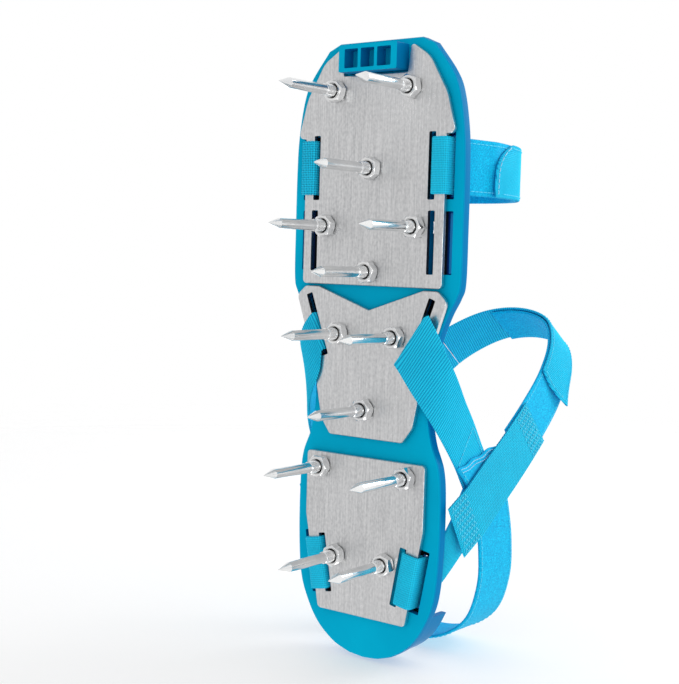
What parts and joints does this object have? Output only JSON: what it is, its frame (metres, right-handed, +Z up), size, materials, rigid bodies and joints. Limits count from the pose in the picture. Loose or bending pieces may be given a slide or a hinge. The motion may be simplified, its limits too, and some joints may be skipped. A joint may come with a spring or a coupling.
{
  "type": "lawn aerator sandal",
  "caption": "Strap-on lawn aerator sandal: moulded sole with steel plates and long ground spikes below, and webbing straps with hook-and-loop ends above.",
  "frame": {"origin": "on the ground under the middle of the sandal's outline, at the level of the spike tips", "axes": "+Z up through the footbed, -Y toward the toe, +Y toward the heel, +X toward the wearer's inner (medial) side of this right-foot sandal"},
  "size_m": [0.1024, 0.3, 0.2111],
  "materials": {
    "sole": "moulded blue polypropylene, fine texture",
    "plate_steel": "brushed sheet steel",
    "zinc_steel": "bright zinc plating",
    "webbing": "woven sky-blue webbing",
    "loop_pile": "sky-blue loop pile of hook-and-loop tape"
  },
  "bodies": {
    "sandal": {"sole": "sole", "toe_plate": "plate_steel", "mid_plate": "plate_steel", "heel_plate": "plate_steel", "spike_bolt_01": "zinc_steel", "spike_bolt_02": "zinc_steel", "spike_bolt_03": "zinc_steel", "spike_bolt_04": "zinc_steel", "spike_bolt_05": "zinc_steel", "spike_bolt_06": "zinc_steel", "spike_bolt_07": "zinc_steel", "spike_bolt_08": "zinc_steel", "spike_bolt_09": "zinc_steel", "spike_bolt_10": "zinc_steel", "spike_bolt_11": "zinc_steel", "spike_bolt_12": "zinc_steel", "spike_bolt_13": "zinc_steel", "spike_nut_01": "zinc_steel", "spike_nut_02": "zinc_steel", "spike_nut_03": "zinc_steel", "spike_nut_04": "zinc_steel", "spike_nut_05": "zinc_steel", "spike_nut_06": "zinc_steel", "spike_nut_07": "zinc_steel", "spike_nut_08": "zinc_steel", "spike_nut_09": "zinc_steel", "spike_nut_10": "zinc_steel", "spike_nut_11": "zinc_steel", "spike_nut_12": "zinc_steel", "spike_nut_13": "zinc_steel", "toe_anchor_webbing": "webbing", "mid_strap_medial": "webbing", "mid_strap_lateral": "webbing", "heel_webbing_medial": "webbing", "heel_webbing_lateral": "webbing", "quarter_strap_medial": "webbing", "quarter_strap_lateral": "webbing", "instep_hook_root": "webbing", "toe_strap": "loop_pile", "instep_loop_band": "loop_pile", "heel_band": "loop_pile"},
    "ring": {"toe_ring": "zinc_steel"},
    "toe_tail": {"toe_strap_tail": "webbing"},
    "instep_hook": {"instep_hook_strap": "webbing"}
  },
  "joints": [
    {"name": "ring_swivel", "type": "hinge", "parent": "sandal", "child": "ring", "pos_m": [-0.04804, -0.0899, 0.09574], "axis": [0, -1, 0], "range_deg": [-3, 1]},
    {"name": "toe_tail_peel", "type": "hinge", "parent": "sandal", "child": "toe_tail", "pos_m": [-0.03705, -0.0899, 0.12069], "axis": [0, -1, 0], "range_deg": [0, 120]},
    {"name": "instep_hook_peel", "type": "hinge", "parent": "sandal", "child": "instep_hook", "pos_m": [-0.03715, 0.00499, 0.17311], "axis": [0, -0.5934, -0.8049], "range_deg": [0, 120]}
  ]
}
